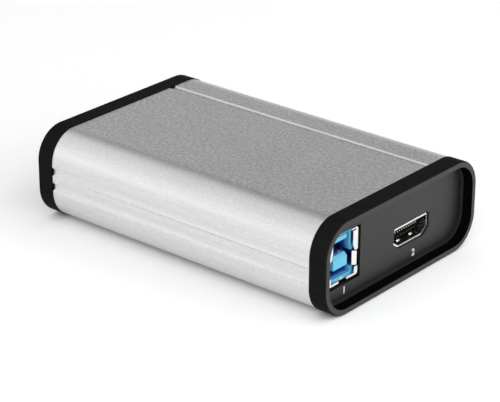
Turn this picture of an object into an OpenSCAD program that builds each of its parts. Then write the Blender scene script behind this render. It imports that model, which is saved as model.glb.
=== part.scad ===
// Video capture box with a data socket and a video output at one end and a video input at the other.
// An extruded aluminium tube is closed by two black end frames, each carrying a thin end plate. One
// circuit board slides into slots in the tube and is held lengthwise between the two frames.
// Origin at the bottom centre, X along the tube with the output end at +X, Z up, in millimetres.

/* [Housing] */
// Length over both end frames
body_l = 100; // [92:1:140]
// Width over the end frames
body_w = 65; // [62:1:90]
// Height over the end frames
body_h = 26; // [25:0.5:40]
// Outer corner radius of the end frames
corner_r = 9; // [5:0.5:11]
// Wall of the tube
tube_wall = 2; // [1.6:0.1:2.6]
// Height of the end frames above the tube's surface
frame_step = 0.2; // [0.1:0.05:0.5]

/* [Tube grooves] */
// Depth of the grooves along both long sides
side_groove_depth = 0.5; // [0.3:0.05:1]
// Height of each side groove
side_groove_h = 2.3; // [1:0.1:3.5]
// Distance between the centres of a side's two grooves
side_groove_pitch = 4.4; // [4:0.1:7]
// Depth of the groove along the top
top_groove_depth = 0.35; // [0.25:0.05:1]
// Width of the top groove
top_groove_w = 2.3; // [1:0.1:4]
// Distance of the top groove's centre from the middle
top_groove_y = 16.6; // [0:0.2:18]

/* [End frames and plates] */
// Thickness of the rim around the recess
rim_w = 1.7; // [1.3:0.1:1.9]
// Depth of the recess, from the rim to the plate
recess_depth = 3.2; // [2:0.1:5]
// Thickness of the end plates
plate_t = 1.2; // [0.8:0.1:2]
// Thickness of the flange that backs each plate
flange_t = 0.9; // [0.8:0.1:2]
// Rounding of the rim's outer edge
rim_edge_r = 0.5; // [0.2:0.1:0.7]
// Gap between a plate and the rim around it
plate_gap = 0.1; // [0.05:0.05:0.2]
// Width of the raised bead along a plate's edge
bead_w = 0.4; // [0.3:0.05:0.8]
// Height of that bead
bead_h = 0.4; // [0.2:0.05:0.8]
// Length of the tongues that plug into the tube
tongue_l = 6; // [3:0.5:10]
// Thickness of the tongues
tongue_t = 1.4; // [1:0.1:1.8]
// Distance from a tongue's edge to the start of the tube's rounded corner
tongue_inset = 3.5; // [1:0.5:8]
// Gap between a tongue and the tube, which the grip ribs fill
tongue_gap = 0.15; // [0.1:0.05:0.3]
// Width of a grip rib
grip_rib_w = 1; // [0.6:0.1:2]

/* [Circuit board] */
// Thickness of the board
board_t = 1.6; // [1:0.2:2]
// Gap round the board in its slots
board_gap = 0.2; // [0.1:0.05:0.4]
// Depth to which the slots grip the board
slot_grip = 1.4; // [1:0.1:1.8]
// Thickness of the slots' lips
slot_lip = 1.2; // [0.8:0.1:1.4]
// Corner radius of the board
board_corner_r = 1; // [0.5:0.1:2]

/* [Data socket] */
// Width of the data socket's shell
data_w = 12.1; // [11.5:0.1:13]
// Height of the data socket's shell
data_h = 13.2; // [12.8:0.1:13.6]
// Length of the data socket's shell
data_l = 17.8; // [17:0.1:20]
// Distance from the shell's side to the slot lip beside it
data_clear = 0.4; // [0.3:0.1:3]
// Height of the shell's middle above the middle of the end plate
data_rise = 1; // [0:0.1:1.5]
// Distance from the shell's mouth back to the insulator
data_setback = 1; // [0.9:0.1:2]
// Distance from the shell's mouth back to the tips of the tongue and the upper plate
data_tongue_setback = 0.9; // [0.6:0.1:2]
// Width of the wide, lower part of the port
data_port_w = 8.5; // [8:0.1:9.5]
// Height of the lower part of the port
data_port_h = 7.8; // [7.4:0.1:8.2]
// Height of the port's floor above the board
data_port_z = 0.95; // [0.8:0.05:1.2]
// Width of the narrow, upper part of the port
data_upper_w = 7.2; // [6.4:0.1:7.4]
// Wall of the insulator above the port
data_ceiling = 0.35; // [0.3:0.05:0.6]
// Height of the sloping shoulders between the two
data_shoulder_h = 1.5; // [0.5:0.1:2]
// Wall of the insulator round the port
data_sleeve = 0.9; // [0.7:0.1:0.9]
// Length of the port, from the insulator's face to its back wall
data_port_l = 9.4; // [8:0.1:10]
// Width of the tongue
data_tongue_w = 5.6; // [5:0.1:6]
// Height of the tongue
data_tongue_h = 3.4; // [2.8:0.1:3.6]
// Height of the tongue above the port's floor
data_tongue_rise = 2.5; // [2:0.1:3]
// Slope at the tongue's upper front edge, in length and in height
data_tongue_lead = 0.9; // [0.4:0.1:1.2]
// Width of the upper plate, which carries the fine contacts
data_plate_w = 4.9; // [4.6:0.1:5.4]
// Thickness of the upper plate
data_plate_t = 1.2; // [0.8:0.1:1.3]
// Gap between the upper plate and the port's ceiling
data_plate_gap = 0.3; // [0.2:0.1:0.6]
// How far the shell's mouth stands back from the port's outline
data_mouth_gap = 0.5; // [0.3:0.1:0.6]
// Height of the sill below the mouth
data_sill_h = 0.6; // [0.4:0.05:0.75]
// Width of the notch in the middle of the sill
data_notch_w = 3.2; // [1:0.1:4]
// Width of the notch in the front of the shell's top
data_top_notch_w = 7; // [4:0.1:8]
// Width of the spring finger in each side of the shell
data_finger_w = 3.9; // [3:0.1:4.2]
// Height of the fingers' middle above the board
data_finger_z = 4.6; // [4:0.1:5]
// Length of the fingers
data_finger_l = 6; // [4:0.5:8]
// How far the fingers are bent inwards at their knees
data_finger_in = 1.05; // [0.6:0.05:1.2]
// Distance from the mouth back to the fingers' knees
data_knee_l = 0.8; // [0.5:0.1:0.9]
// How far the fingers flare out again from knee to tip
data_finger_flare = 0.65; // [0.3:0.05:0.7]
// Gap between the shell and the cut-out, at the sides and below
data_cut_gap = 1.1; // [0.3:0.1:1.3]
// Gap between the shell and the cut-out, above
data_cut_top = 0.2; // [0.1:0.1:1]

/* [Video sockets] */
// Width of a video socket's shell, behind its lip
video_w = 15; // [14.8:0.1:16]
// Height of a video socket's shell, behind its lip
video_h = 5.5; // [5.3:0.1:6.5]
// Length of a video socket's shell
video_l = 12; // [11:0.1:14]
// Height of the shell above the board
video_lift = 0.6; // [0.3:0.1:1.2]
// How far the lip stands out at each side
video_lip_side = 0.1; // [0.1:0.05:0.6]
// How far the lip stands out above and below
video_lip_top = 0.1; // [0.05:0.05:0.3]
// Length of the lip
video_lip_l = 0.4; // [0.3:0.1:0.8]
// Width taken off each lower corner
video_chamfer_w = 2.4; // [1.8:0.1:2.8]
// Height taken off each lower corner
video_chamfer_h = 1.6; // [1.2:0.1:2]
// Distance from the mouth back to the tip of the tongue
video_tongue_setback = 1.3; // [1:0.1:2]
// Width of the tongue
video_tongue_w = 11.2; // [10.6:0.1:12]
// Thickness of the tongue
video_tongue_t = 1; // [0.8:0.1:1.2]
// Length of the block that closes the back of the shell
video_block_l = 3.5; // [2.5:0.1:5]
// Distance from an end plate's face back to the shell's mouth
video_setback = 0.5; // [0:0.1:0.6]
// Gap between the shell's lip and the cut-out, at the sides
video_cut_side = 0.2; // [0.15:0.05:1]
// Gap between the shell's lip and the cut-out, above
video_cut_top = 0.35; // [0.15:0.05:0.5]
// Gap between the shell's lip and the cut-out, below
video_cut_below = 0.15; // [0.1:0.05:0.5]
// Height of the tongue's middle above the shell's
video_tongue_rise = 0; // [-0.6:0.05:0.5]
// Width of the spring fingers in the shell's top and floor
video_finger_w = 1.3; // [1:0.1:2.4]
// Length of the fingers
video_finger_l = 4; // [3:0.5:6]
// Distance of the fingers from the shell's middle
video_finger_y = 2.75; // [2:0.05:4]
// How far the fingers are bent inwards
video_finger_in = 0.4; // [0.2:0.05:0.6]
// Distance of the video output from the middle
video_out_y = 7.8; // [4:0.2:10]
// Distance of the video input from the middle
video_in_y = 0; // [-5:0.5:5]

/* [Sheet metal and contacts] */
// Thickness of the socket shells' sheet
sheet = 0.35; // [0.25:0.05:0.45]
// Outer bend radius of the shells
bend_r = 0.7; // [0.5:0.1:0.9]
// Gap between a shell and its insulator
shell_gap = 0.05; // [0.02:0.01:0.1]
// Width of the shells' slits
slit_w = 0.4; // [0.2:0.05:0.5]
// Thickness of the contacts
contact_t = 0.2; // [0.12:0.02:0.24]
// Width of a fine contact
fine_contact_w = 0.4; // [0.25:0.01:0.42]
// Width of a broad contact
broad_contact_w = 0.8; // [0.6:0.1:1]
// Length of the legs and pins below the board
leg_below = 0.7; // [0.4:0.1:1]
// Gap between a leg or pin and its hole
hole_gap = 0.12; // [0.08:0.02:0.16]

/* [Electronics] */
// Side of the capture processor
processor_size = 17; // [14:0.5:18]
// Height of the capture processor
processor_h = 1.5; // [1:0.1:2]
// Side of the video receiver chip
receiver_size = 12; // [9:0.5:12.5]
// Side of the video splitter chip
splitter_size = 9; // [7:0.5:10]
// Side of the data controller chip
controller_size = 9; // [7:0.5:9.5]
// Length of a memory chip
memory_l = 12; // [9:0.5:13]
// Width of a memory chip
memory_w = 8; // [7:0.5:9]
// Height of the flat chips
chip_h = 1; // [0.8:0.1:1.4]
// Reach of the bent leads
lead_reach = 1; // [0.8:0.1:1.2]
// Space kept between neighbouring chips
chip_gap = 5; // [4.5:0.1:5.5]
// Height of the heat sink
sink_h = 7; // [5:0.5:9]
// Thickness of the heat sink's base
sink_base = 2; // [1.4:0.1:3]
// Thickness of a heat sink fin
sink_fin = 1; // [0.8:0.1:1.2]
// Number of heat sink fins
sink_fins = 6; // [4:1:7]
// Thickness of the pad under the heat sink
pad_t = 0.5; // [0.3:0.1:1]
// Side of a power inductor
inductor_size = 6; // [5:0.5:7]
// Height of a power inductor
inductor_h = 3; // [2:0.2:4]
// Diameter of a bulk capacitor
can_d = 5; // [4:0.2:5.6]
// Height of a bulk capacitor
can_h = 5.4; // [4.5:0.2:7]
// Length of a chip capacitor or resistor
small_l = 1.6; // [1:0.1:1.8]
// Width of a chip capacitor or resistor
small_w = 0.8; // [0.5:0.1:1]

/* [Status lamp] */
// Distance of the lamp from the middle
lamp_y = 16; // [13:0.5:20]
// Diameter of the light pipe
pipe_d = 2.6; // [2:0.1:3]
// Length of the light pipe behind the plate
pipe_l = 4; // [3:0.5:7]
// Height of the lamp's and light pipe's middle above the board
lamp_z = 2.2; // [2:0.1:3]

/* [Hidden] */
$fn = 48;
cut = 1;

// Housing
frame_depth = recess_depth + plate_t + flange_t;
tube_l = body_l - 2 * frame_depth;
tube_w = body_w - 2 * frame_step;
tube_h = body_h - 2 * frame_step;
tube_r = corner_r - frame_step;
inner_w = tube_w - 2 * tube_wall;
inner_h = tube_h - 2 * tube_wall;
inner_r = tube_r - tube_wall;
floor_z = frame_step + tube_wall;
face_x = body_l / 2 - recess_depth;
plate_back_x = face_x - plate_t;
flange_inset = floor_z + tongue_gap + tongue_t;
tongue_w = inner_w - 2 * inner_r - 2 * tongue_inset;
tongue_lead = tongue_t / 2;
grip_ribs = 3;

// Half width of the tube's inside at height z, which follows the rounded lower corners
function inner_y(z) =
    let (below = max(0, floor_z + inner_r - z))
    inner_w / 2 - inner_r + sqrt(max(0, inner_r ^ 2 - below ^ 2));

// Circuit board, at the height that puts the data socket in its place
board_z = body_h / 2 + data_rise - data_h / 2;
board_bottom = board_z - board_t;
board_l = tube_l - 2 * board_gap;
board_w = 2 * (min(inner_y(board_bottom), inner_y(board_z)) - board_gap);
lip_y = board_w / 2 - slot_grip;
leg_l = board_t + leg_below;

// Data socket, measured from its mouth, its middle and the top of the board
data_y = -lip_y + data_clear + data_w / 2;
data_wall = sheet + shell_gap;
data_inside = data_l - data_wall;
data_port_back = data_setback + data_port_l;
data_block_l = 2;
data_block_back = data_port_back + data_block_l;
data_shoulder_top = data_port_z + data_port_h;
data_port_top = data_h - data_wall - data_ceiling;
data_tongue_z = data_port_z + data_tongue_rise;
data_plate_z = data_port_top - data_plate_gap - data_plate_t;
data_floor_l = data_l / 2;
data_leg_w = 2.2;
data_leg_front = 5.4;
data_leg_rear = 12.8;
data_leg_xs = [-data_leg_front, -data_leg_rear];
data_pair_pitch = 2.5;
data_fine_pitch = 1;
data_fine_count = 5;
data_row_step = (data_inside - data_block_back) / 4;
data_rear = face_x - data_l;
contact_tip = 0.65;

// Video sockets, measured in the same way
video_wall = sheet + shell_gap;
video_tongue_z = video_lift + video_h / 2 + video_tongue_rise - video_tongue_t / 2;
video_pitch = 1;
video_upper_count = 10;
video_lower_count = 9;
video_foot_l = 1;
video_leg_w = 1.4;
video_leg_front = 3;
video_leg_rear = 9;
video_leg_xs = [-video_leg_front, -video_leg_rear];
video_finger_start = 3 * video_lip_l;
video_knee_l = 0.3;
video_rear = face_x - video_setback - video_l - 2 * contact_t - video_foot_l;

// Small parts on the board: a ring round the processor and a row behind each video socket
small_end = 0.3;
small_skin = 0.04;
ring_count = 6;
ring_pitch = processor_size / ring_count;
ring_r = processor_size / 2 + chip_gap / 2;
ring_edge = ring_r + small_l / 2;
row_count = 8;
row_pitch = small_w * 2;
row_x = video_rear - chip_gap / 4 - small_l / 2;
row_edge = row_x - small_l / 2;

// Status lamp
pipe_gap = 0.1;
pipe_collar = 0.5;
pipe_collar_l = 0.8;
lamp_l = 2.4;
lamp_w = 3.2;
lamp_dome_r = 0.9;
lamp_gap = 0.2;
lamp_x = plate_back_x - pipe_l - lamp_gap - lamp_dome_r;
lamp_edge = lamp_x - lamp_l;

// Places of the chips on the board, midway between the ring and what stands beyond them
receiver_x = -(ring_edge + row_edge) / 2;
splitter_x = (ring_edge + row_edge) / 2;
splitter_y = lead_reach + splitter_size / 2 + chip_gap / 3;
controller_x = (ring_edge + data_rear) / 2;
controller_y = -(controller_size / 2 + chip_gap / 3);
memory_y = processor_size / 2 + chip_gap + memory_w / 2;
flash_l = 5;
flash_w = 4;
flash_y = -(receiver_size / 2 + lead_reach + chip_gap + flash_w / 2);
crystal_l = 5;
crystal_w = 3.2;
crystal_h = 1.2;
crystal_y = chip_gap / 2 + crystal_w / 2 - lip_y;
inductor_pitch = inductor_size + chip_gap / 2;
inductor_x = lamp_edge - chip_gap / 2 - inductor_size / 2;
inductor_y = lip_y - chip_gap / 2 - inductor_size / 2;
inductors = 3;
regulator_size = 3;
regulator_y = inductor_y - inductor_size / 2 - chip_gap / 4 - regulator_size / 2;
can_brim = 0.2;
can_base = can_d + 2 * can_brim;
can_base_h = 0.8;
can_x = board_l / 2 - chip_gap / 2 - can_base / 2;
can_y = lip_y - chip_gap / 2 - can_base / 2;
can_pitch = can_base + chip_gap / 3;
cans = 3;
chip_lift = 0.1;
lead_t = 0.15;
lead_bend = 0.35;
lead_margin = 0.75;
lead_pitch = 0.8;
lead_w = 0.36;
flash_lead_pitch = 1.27;
flash_lead_w = 0.45;

// Unit vector, and the corner geometry of a closed convex outline
function unit(v) = v / norm(v);
function before(pts, i) = unit(pts[(i + len(pts) - 1) % len(pts)] - pts[i]);
function after(pts, i) = unit(pts[(i + 1) % len(pts)] - pts[i]);
function half_angle(pts, i) = acos(before(pts, i) * after(pts, i)) / 2;
function inward(pts, i) = unit(before(pts, i) + after(pts, i)) / sin(half_angle(pts, i));

// Outline moved inwards by d all round
function inset(pts, d) = [for (i = [0 : len(pts) - 1]) pts[i] + d * inward(pts, i)];

// Outline with each corner turned into an arc of radius r, in a few steps
function rounded(pts, r, steps = 4) = [
    for (i = [0 : len(pts) - 1])
        let (middle = pts[i] + r * inward(pts, i), reach = r / tan(half_angle(pts, i)),
            from = pts[i] + reach * before(pts, i) - middle, to = pts[i] + reach * after(pts, i) - middle)
        for (k = [0 : steps]) middle + r * unit(from * (1 - k / steps) + to * k / steps)
];

// Rounded rectangle centred on the origin
module round_rect(w, h, r) {
    square([w - 2 * r, h], center = true);
    square([w, h - 2 * r], center = true);
    for (a = [-1, 1], b = [-1, 1])
        translate([a * (w / 2 - r), b * (h / 2 - r)])
            circle(r);
}

// Flat drawing of a cross-section, with its own x along Y and its own y along Z, drawn out along X
module along_x(x0, x1) {
    translate([x0, 0, 0])
        rotate([90, 0, 90])
            linear_extrude(x1 - x0)
                children();
}

// Flat drawing of a side view, with its own x along X and its own y along Z, drawn out w across Y
module across_y(w) {
    rotate([90, 0, 0])
        linear_extrude(w, center = true)
            children();
}

// The same, for a cross-section centred at mid height
module housing_section(x0, x1) {
    translate([0, 0, body_h / 2])
        along_x(x0, x1)
            children();
}

// Half of a bar's end view: half width a, depth d, front corner rounded by e
module soft_edge(a, d, e) {
    square([a - e, d]);
    square([a, d - e]);
    translate([a - e, d - e])
        circle(e);
}

module soft_bar(a, d, e) {
    soft_edge(a, d, e);
    mirror([1, 0])
        soft_edge(a, d, e);
}

// Prism of rounded-rectangle section along X, with its edge at x1 rounded over by e
module soft_prism(x0, x1, w, h, r, e) {
    d = x1 - x0;
    translate([x0, 0, body_h / 2]) {
        rotate([-90, -90, 0])
            linear_extrude(w - 2 * r, center = true)
                soft_bar(h / 2, d, e);
        rotate([180, 0, 90])
            linear_extrude(h - 2 * r, center = true)
                soft_bar(w / 2, d, e);
        for (a = [-1, 1], b = [-1, 1])
            translate([0, a * (w / 2 - r), b * (h / 2 - r)])
                rotate([0, 90, 0])
                    rotate_extrude()
                        soft_edge(r, d, e);
    }
}

// Places a socket, drawn with its mouth at the origin facing +X, at either end of the board
module at_output(y, back = 0) {
    translate([face_x - back, y, board_z])
        children();
}

module at_input(y, back = 0) {
    translate([back - face_x, y, board_z])
        rotate([0, 0, 180])
            children();
}

module on_board(x, y) {
    translate([x, y, board_z])
        children();
}

// Lips that hold the board's long edges; the board lies on the lower pair
module slot_lips() {
    for (a = [0, 1])
        mirror([a, 0])
            translate([lip_y, -body_h / 2]) {
                translate([0, board_bottom - slot_lip])
                    square([tube_w / 2 - lip_y, slot_lip]);
                translate([0, board_z + board_gap])
                    square([tube_w / 2 - lip_y, slot_lip]);
            }
}

module housing_tube() {
    color("#a9abae")
        housing_section(-tube_l / 2, tube_l / 2)
            difference() {
                round_rect(tube_w, tube_h, tube_r);
                difference() {
                    round_rect(inner_w, inner_h, inner_r);
                    slot_lips();
                }
                for (a = [-1, 1], b = [-1, 1])
                    translate([a * tube_w / 2, b * side_groove_pitch / 2])
                        square([2 * side_groove_depth, side_groove_h], center = true);
                translate([top_groove_y, tube_h / 2])
                    square([top_groove_w, 2 * top_groove_depth], center = true);
            }
}

// Tongue along the tube's floor, tapered at its tip, with ribs that grip the tube
module frame_tongue() {
    tip_x = tube_l / 2 - tongue_l;
    translate([0, 0, floor_z + tongue_gap]) {
        across_y(tongue_w)
            polygon([[tip_x, tongue_lead], [tip_x + tongue_lead, 0], [tube_l / 2 + flange_t, 0],
                [tube_l / 2 + flange_t, tongue_t], [tip_x, tongue_t]]);
        for (i = [0 : grip_ribs - 1])
            translate([tip_x + tongue_lead, (i - (grip_ribs - 1) / 2) * tongue_w / grip_ribs - grip_rib_w / 2,
                -tongue_gap])
                cube([tongue_l - tongue_lead, grip_rib_w, tongue_gap + tongue_t / 2]);
    }
}

// Rim, flange behind the plate, and two tongues; drawn for the output end
module end_frame() {
    color("#1c1c1e") {
        difference() {
            soft_prism(tube_l / 2, body_l / 2, body_w, body_h, corner_r, rim_edge_r);
            housing_section(plate_back_x, body_l / 2 + cut)
                round_rect(body_w - 2 * rim_w, body_h - 2 * rim_w, corner_r - rim_w);
            housing_section(tube_l / 2 - cut, body_l / 2)
                round_rect(body_w - 2 * flange_inset, body_h - 2 * flange_inset,
                    max(corner_r - flange_inset, rim_edge_r));
        }
        frame_tongue();
        translate([0, 0, body_h])
            mirror([0, 0, 1])
                frame_tongue();
    }
}

module output_end_frame() {
    end_frame();
}

module input_end_frame() {
    mirror([1, 0, 0])
        end_frame();
}

// Plate with a raised bead along its edge
module plate_blank() {
    edge = rim_w + plate_gap;
    field = edge + bead_w;
    difference() {
        housing_section(plate_back_x, face_x + bead_h)
            round_rect(body_w - 2 * edge, body_h - 2 * edge, corner_r - edge);
        housing_section(face_x, face_x + bead_h + cut)
            round_rect(body_w - 2 * field, body_h - 2 * field, corner_r - field);
    }
}

// Outline of a video socket, grown at its sides, above and below: flat top, upright sides and chamfered
// lower corners
function video_outline(side, above, below) =
    let (half = video_w / 2 + side, low = video_lift - below, high = video_lift + video_h + above,
        elbow = video_lift + video_chamfer_h)
    [[-half, elbow], [-half, high], [half, high], [half, elbow],
        [half - video_chamfer_w, low], [video_chamfer_w - half, low]];

module output_end_plate() {
    color("#222224")
        difference() {
            plate_blank();
            at_output(data_y)
                along_x(-plate_t - cut, cut)
                    translate([-data_w / 2 - data_cut_gap, -data_cut_gap])
                        square([data_w + 2 * data_cut_gap, data_h + data_cut_gap + data_cut_top]);
            at_output(video_out_y)
                video_cut();
        }
}

module video_cut() {
    along_x(-plate_t - cut, cut)
        polygon(rounded(video_outline(video_lip_side + video_cut_side, video_lip_top + video_cut_top,
            video_lip_top + video_cut_below), bend_r));
}

module input_end_plate() {
    color("#222224")
        difference() {
            mirror([1, 0, 0])
                plate_blank();
            at_input(video_in_y)
                video_cut();
            at_input(lamp_y)
                translate([-plate_t - cut, 0, lamp_z])
                    rotate([0, 90, 0])
                        cylinder(d = pipe_d + 2 * pipe_gap, h = plate_t + 2 * cut);
        }
}

// Legs of a shell, at both sides, at the given places; gap widens them into the board's slots
module shell_legs(w, leg_w, xs, top, gap) {
    for (x = xs, s = [-1, 1])
        translate([x - leg_w / 2 - gap, s * (w / 2 - sheet / 2) - sheet / 2 - gap, -leg_l - gap])
            cube([leg_w + 2 * gap, sheet + 2 * gap, top + leg_l + gap]);
}

// Round holes for the data contacts' pins
module data_pin_holes() {
    for (p = data_pins())
        translate([-p[1] - contact_t / 2, p[0], -board_t - cut])
            cylinder(d = norm([p[2], contact_t]) + 2 * hole_gap, h = board_t + 2 * cut);
}

module circuit_board() {
    color("#1f5a34")
        difference() {
            translate([0, 0, board_bottom])
                linear_extrude(board_t)
                    round_rect(board_l, board_w, board_corner_r);
            at_output(data_y) {
                shell_legs(data_w, data_leg_w, data_leg_xs, cut, hole_gap);
                data_pin_holes();
            }
            at_output(video_out_y, video_setback)
                shell_legs(video_w, video_leg_w, video_leg_xs, cut, hole_gap);
            at_input(video_in_y, video_setback)
                shell_legs(video_w, video_leg_w, video_leg_xs, cut, hole_gap);
        }
}

// Outline of the data port, wide below and narrow above, grown by side, from low to high
function data_outline(side, low, high) =
    let (w = data_port_w / 2 + side, u = data_upper_w / 2 + side, t = data_shoulder_top)
    [[-w, low], [w, low], [w, t - data_shoulder_h], [u, t], [u, high], [-u, high], [-u, t],
        [-w, t - data_shoulder_h]];

// Folded box of the data socket's shell, behind its front, less a margin all round
module data_box(x0, x1, margin) {
    along_x(x0, x1)
        translate([0, data_h / 2])
            round_rect(data_w - 2 * margin, data_h - 2 * margin, bend_r - min(margin, sheet));
}

// Room for the fingers, cut through the sides of the shell and of the insulator
module data_windows() {
    window_h = data_finger_w + 2 * slit_w;
    translate([-data_finger_l, -data_w / 2 - cut, data_finger_z - window_h / 2])
        cube([data_finger_l + cut, data_w + 2 * cut, window_h]);
}

// Spring finger in the shell's +Y side, seen from above: bent in to a knee and flared at its tip
module data_finger() {
    wall_y = data_w / 2;
    knee_y = wall_y - data_finger_in;
    tip_y = knee_y + data_finger_flare;
    translate([0, 0, data_finger_z - data_finger_w / 2])
        linear_extrude(data_finger_w)
            polygon([[-data_finger_l - sheet, wall_y], [-data_finger_l, wall_y], [-data_knee_l, knee_y],
                [0, tip_y], [0, tip_y - sheet], [-data_knee_l, knee_y - sheet],
                [-data_finger_l, wall_y - sheet], [-data_finger_l - sheet, wall_y - sheet]]);
}

// Data socket: folded shell whose front follows the port, slit below its top, notched above and below,
// split in its floor and open beneath behind that floor, with a spring finger in each side
module data_socket_shell() {
    color("#d5d7d9")
        at_output(data_y) {
            difference() {
                data_box(-data_l, 0, 0);
                data_box(-data_l + sheet, -sheet, sheet);
                along_x(-2 * sheet, cut)
                    polygon(data_outline(data_mouth_gap, data_sill_h, data_h - sheet));
                translate([-data_l + sheet, -data_w / 2 + bend_r, -cut])
                    cube([data_l - sheet - data_floor_l, data_w - 2 * bend_r, 2 * cut]);
                translate([-data_floor_l - cut, -slit_w / 4, -cut])
                    cube([data_floor_l + 2 * cut, slit_w / 2, 2 * cut]);
                translate([-data_setback, -data_notch_w / 2, -cut])
                    cube([data_setback + cut, data_notch_w, data_sill_h + 2 * cut]);
                translate([-data_setback, -data_top_notch_w / 2, data_h - 2 * sheet])
                    cube([data_setback + cut, data_top_notch_w, 2 * sheet + cut]);
                data_windows();
                translate([-2 * sheet, bend_r - data_w / 2, data_h - sheet - slit_w])
                    cube([2 * sheet + cut, data_w - 2 * bend_r, slit_w]);
            }
            data_finger();
            mirror([0, 1, 0])
                data_finger();
            shell_legs(data_w, data_leg_w, data_leg_xs, bend_r + cut, 0);
        }
}

// Tongue of length l behind its tip, sloped at its upper front edge
module data_tongue(l) {
    across_y(data_tongue_w)
        polygon([[-l, 0], [0, 0], [0, data_tongue_h - data_tongue_lead], [-data_tongue_lead, data_tongue_h],
            [-l, data_tongue_h]]);
}

// Sleeve round the port, the block behind it, the tongue and the upper plate
module data_socket_insulator() {
    tongue_l = data_port_back - data_tongue_setback;
    color("#2b56c6")
        at_output(data_y)
            difference() {
                union() {
                    data_box(-data_block_back, -data_port_back, data_wall);
                    difference() {
                        along_x(-data_port_back, -data_setback)
                            polygon(data_outline(data_sleeve, data_wall, data_h - data_wall));
                        along_x(-data_port_back, -data_setback + cut)
                            polygon(data_outline(0, data_port_z, data_port_top));
                        data_windows();
                    }
                    translate([-data_tongue_setback, 0, data_tongue_z])
                        data_tongue(tongue_l + cut);
                    translate([-data_port_back - cut, -data_plate_w / 2, data_plate_z])
                        cube([tongue_l + cut, data_plate_w, data_plate_t]);
                }
                data_contact_set();
            }
}

// One contact: a strip that runs back from its tip, then turns down to the given depth
module contact(tip, back, z, w, bottom) {
    across_y(w)
        polygon([[-tip, z], [-tip, z + contact_t], [-back - contact_t, z + contact_t],
            [-back - contact_t, bottom], [-back, bottom], [-back, z]]);
}

// The data contacts: place across, distance back, width and height
function data_pins() = concat(
    [for (s = [-1, 1]) [s * data_pair_pitch / 2, data_block_back + data_row_step, broad_contact_w,
        data_tongue_z - contact_t]],
    [for (s = [-1, 1]) [s * data_pair_pitch / 2, data_block_back + 2 * data_row_step, broad_contact_w,
        data_tongue_z + data_tongue_h]],
    [for (i = [0 : data_fine_count - 1]) [(i - (data_fine_count - 1) / 2) * data_fine_pitch,
        data_block_back + 3 * data_row_step, fine_contact_w, data_plate_z - contact_t]]);

module data_contact_set() {
    for (p = data_pins())
        translate([0, p[0], 0])
            contact(data_tongue_setback + 2 * contact_tip, p[1], p[3], p[2], -leg_l);
}

module data_socket_contacts() {
    color("#d9b45a")
        at_output(data_y)
            data_contact_set();
}

// Video socket: folded shell with a turned-out lip and two spring fingers above and below
module video_shell() {
    outer = video_outline(0, 0, 0);
    gap_w = video_finger_w + 2 * slit_w;
    color("#d5d7d9") {
        difference() {
            union() {
                along_x(-video_l, 0)
                    polygon(rounded(outer, bend_r));
                along_x(-video_lip_l, 0)
                    polygon(rounded(video_outline(video_lip_side, video_lip_top, video_lip_top), bend_r));
            }
            along_x(-video_l - cut, cut)
                polygon(rounded(inset(outer, sheet), bend_r - sheet));
            for (a = [-1, 1])
                translate([-video_finger_start - video_finger_l, a * video_finger_y - gap_w / 2, 0])
                    cube([video_finger_l, gap_w, video_lift + video_h + cut]);
        }
        for (a = [-1, 1])
            translate([0, a * video_finger_y, video_lift + video_h / 2]) {
                video_finger();
                mirror([0, 0, 1])
                    video_finger();
            }
        shell_legs(video_w, video_leg_w, video_leg_xs, video_lift + video_chamfer_h + cut, 0);
    }
}

// Spring finger in the shell's floor, seen from the side, bent up to a knee near its tip
module video_finger() {
    root_x = -video_finger_start - video_finger_l;
    tip_x = -video_finger_start - slit_w;
    low = -video_h / 2;
    knee = low + video_finger_in;
    across_y(video_finger_w)
        polygon([[root_x - sheet, low], [root_x, low], [tip_x - video_knee_l, knee], [tip_x, low],
            [tip_x, low + sheet], [tip_x - video_knee_l, knee + sheet], [root_x, low + sheet],
            [root_x - sheet, low + sheet]]);
}

module video_insulator() {
    block_front = video_l - video_block_l;
    color("#161617")
        difference() {
            union() {
                along_x(-video_l, -block_front)
                    polygon(rounded(inset(video_outline(0, 0, 0), video_wall), bend_r - sheet));
                translate([-block_front - cut, -video_tongue_w / 2, video_tongue_z])
                    cube([block_front + cut - video_tongue_setback, video_tongue_w, video_tongue_t]);
            }
            video_contact_set();
        }
}

// One row of contacts, turned down behind the block onto small feet on the board
module video_contact_row(count, z, back) {
    for (i = [0 : count - 1])
        translate([0, (i - (count - 1) / 2) * video_pitch, 0]) {
            contact(video_tongue_setback + contact_tip, back, z, fine_contact_w, 0);
            translate([-back - video_foot_l, -fine_contact_w / 2, 0])
                cube([video_foot_l, fine_contact_w, contact_t]);
        }
}

module video_contact_set() {
    video_contact_row(video_upper_count, video_tongue_z + video_tongue_t, video_l + contact_t);
    video_contact_row(video_lower_count, video_tongue_z - contact_t, video_l);
}

module video_contacts() {
    color("#d9b45a")
        video_contact_set();
}

module video_out_shell() {
    at_output(video_out_y, video_setback)
        video_shell();
}

module video_out_insulator() {
    at_output(video_out_y, video_setback)
        video_insulator();
}

module video_out_contacts() {
    at_output(video_out_y, video_setback)
        video_contacts();
}

module video_in_shell() {
    at_input(video_in_y, video_setback)
        video_shell();
}

module video_in_insulator() {
    at_input(video_in_y, video_setback)
        video_insulator();
}

module video_in_contacts() {
    at_input(video_in_y, video_setback)
        video_contacts();
}

// Moulded body lying flat on the board, with a dimple at its first corner
module chip_body(l, w, h, lift = 0) {
    dimple_r = 0.4;
    dimple_in = 1.2;
    difference() {
        translate([-l / 2, -w / 2, lift])
            cube([l, w, h - lift]);
        translate([dimple_in - l / 2, dimple_in - w / 2, h - dimple_r / 4])
            cylinder(r = dimple_r, h = cut);
    }
}

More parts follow.
